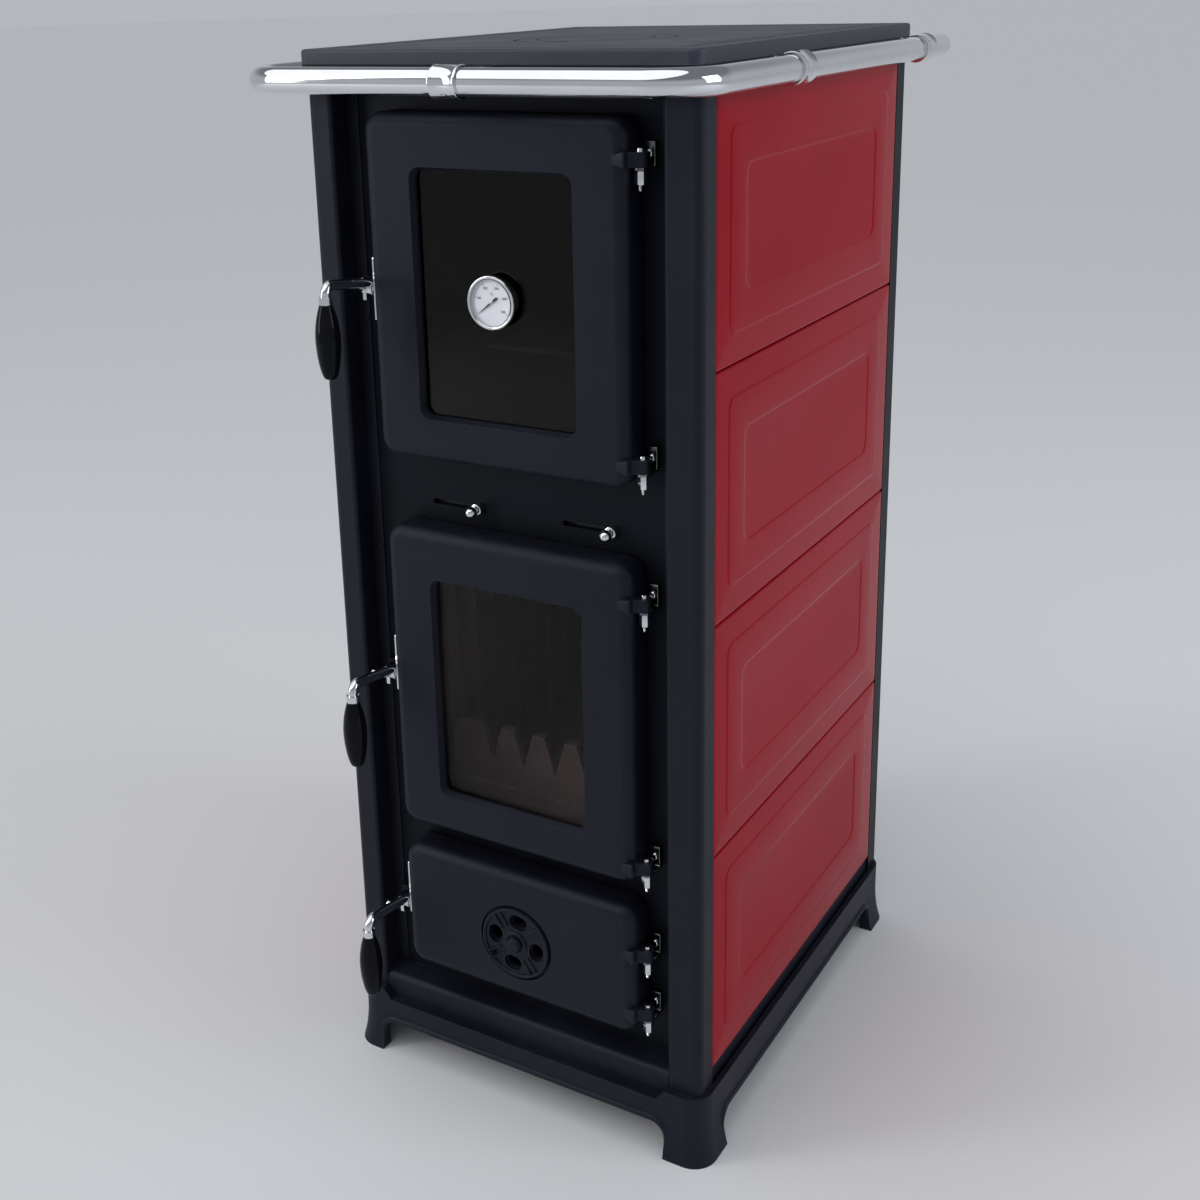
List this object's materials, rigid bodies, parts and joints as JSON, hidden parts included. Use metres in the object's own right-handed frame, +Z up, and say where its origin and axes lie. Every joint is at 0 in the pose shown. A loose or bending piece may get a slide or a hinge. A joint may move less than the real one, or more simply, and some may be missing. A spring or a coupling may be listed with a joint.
{
  "type": "wood stove with oven",
  "caption": "Upright free-standing wood-burning range with an oven above a glazed firebox, ash door, cooktop lid and chrome towel rail.",
  "frame": {"origin": "on the floor under the middle of the whole stove", "axes": "+X to the right seen from the front, +Y to the rear, +Z up"},
  "size_m": [0.4852, 0.635, 1.08],
  "materials": {
    "cast_black": "satin black stove paint over fine cast grain",
    "sheet_black": "satin black paint",
    "cooktop_iron": "bare machined and blackened iron",
    "red_enamel": "glossy vitreous enamel",
    "chrome": "polished",
    "rack_chrome": "polished wire",
    "oven_steel": "satin sheet steel",
    "lining_iron": "rough, sooted",
    "glass": "dark ceramic glass",
    "clear_glass": "clear",
    "dial": "matte white with black print",
    "pointer": "matte black",
    "grip_black": "glossy black",
    "rope": "braided glass-fibre rope"
  },
  "bodies": {
    "stove_body": {"base_plinth": "cast_black", "front_sill": "cast_black", "post_front_left": "cast_black", "post_front_right": "cast_black", "rear_trim_left": "sheet_black", "rear_trim_right": "sheet_black", "front_plate": "sheet_black", "back_panel": "sheet_black", "side_liners": "sheet_black", "top_frame": "cast_black", "cooktop_plate": "cooktop_iron", "hand_rail": "chrome", "rail_clips": "chrome", "hinge_brackets": "chrome", "hinge_pins": "chrome", "latch_keepers": "sheet_black", "body_screws": "chrome", "oven_liner": "oven_steel", "oven_rack": "rack_chrome", "fire_lining": "lining_iron", "firebox_floor": "lining_iron", "fire_grate": "lining_iron", "log_guard": "lining_iron", "smoke_baffle": "lining_iron", "ash_shelf": "sheet_black", "ash_pan": "oven_steel", "flue_collar": "sheet_black", "side_panel_left_1": "red_enamel", "side_panel_left_2": "red_enamel", "side_panel_left_3": "red_enamel", "side_panel_left_4": "red_enamel", "side_panel_right_1": "red_enamel", "side_panel_right_2": "red_enamel", "side_panel_right_3": "red_enamel", "side_panel_right_4": "red_enamel"},
    "lid": {"cooktop_lid": "cooktop_iron"},
    "oven_door_leaf": {"oven_door": "cast_black", "oven_door_glass": "glass", "oven_door_seal": "rope", "oven_latch_plate": "chrome", "thermometer_case": "chrome", "thermometer_dial": "dial", "thermometer_lens": "clear_glass"},
    "thermometer_needle": {"thermometer_pointer": "pointer"},
    "oven_handle": {"oven_handle_arm": "chrome", "oven_handle_grip": "grip_black"},
    "fire_door_leaf": {"fire_door": "cast_black", "fire_door_glass": "glass", "fire_door_seal": "rope", "fire_latch_plate": "chrome"},
    "fire_handle": {"fire_handle_arm": "chrome", "fire_handle_grip": "grip_black"},
    "ash_door_leaf": {"ash_door": "cast_black", "ash_door_seal": "rope", "ash_latch_plate": "chrome"},
    "ash_handle": {"ash_handle_arm": "chrome", "ash_handle_grip": "grip_black"},
    "rosette": {"air_rosette": "cast_black"},
    "oven_damper": {"oven_damper_slide": "chrome"},
    "flue_damper": {"flue_damper_slide": "chrome"}
  },
  "joints": [
    {"name": "lid_lift", "type": "slide", "parent": "stove_body", "child": "lid", "axis": [0, 0, 1], "range_m": [0, 0.06]},
    {"name": "oven_door_hinge", "type": "hinge", "parent": "stove_body", "child": "oven_door_leaf", "pos_m": [0.1455, -0.2355, 0.8615], "axis": [0, 0, 1], "range_deg": [0, 110]},
    {"name": "oven_handle_lift", "type": "hinge", "parent": "oven_door_leaf", "child": "oven_handle", "pos_m": [-0.1444, -0.2355, 0.859], "axis": [-1, 0, 0], "range_deg": [0, 50]},
    {"name": "fire_door_hinge", "type": "hinge", "parent": "stove_body", "child": "fire_door_leaf", "pos_m": [0.1455, -0.2355, 0.4615], "axis": [0, 0, 1], "range_deg": [0, 110]},
    {"name": "fire_handle_lift", "type": "hinge", "parent": "fire_door_leaf", "child": "fire_handle", "pos_m": [-0.1444, -0.2355, 0.459], "axis": [-1, 0, 0], "range_deg": [0, 50]},
    {"name": "ash_door_hinge", "type": "hinge", "parent": "stove_body", "child": "ash_door_leaf", "pos_m": [0.1455, -0.2355, 0.2005], "axis": [0, 0, 1], "range_deg": [0, 110]},
    {"name": "ash_handle_lift", "type": "hinge", "parent": "ash_door_leaf", "child": "ash_handle", "pos_m": [-0.1444, -0.2355, 0.191], "axis": [-1, 0, 0], "range_deg": [0, 50]},
    {"name": "thermometer_turn", "type": "hinge", "parent": "oven_door_leaf", "child": "thermometer_needle", "pos_m": [0, -0.248, 0.8585], "axis": [0, 1, 0], "range_deg": [0, 250]},
    {"name": "rosette_turn", "type": "hinge", "parent": "ash_door_leaf", "child": "rosette", "pos_m": [0, -0.248, 0.192], "axis": [0, 1, 0], "range_deg": [0, 45]},
    {"name": "oven_damper_slide", "type": "slide", "parent": "stove_body", "child": "oven_damper", "axis": [-1, 0, 0], "range_m": [0, 0.05]},
    {"name": "flue_damper_slide", "type": "slide", "parent": "stove_body", "child": "flue_damper", "axis": [-1, 0, 0], "range_m": [0, 0.05]}
  ]
}
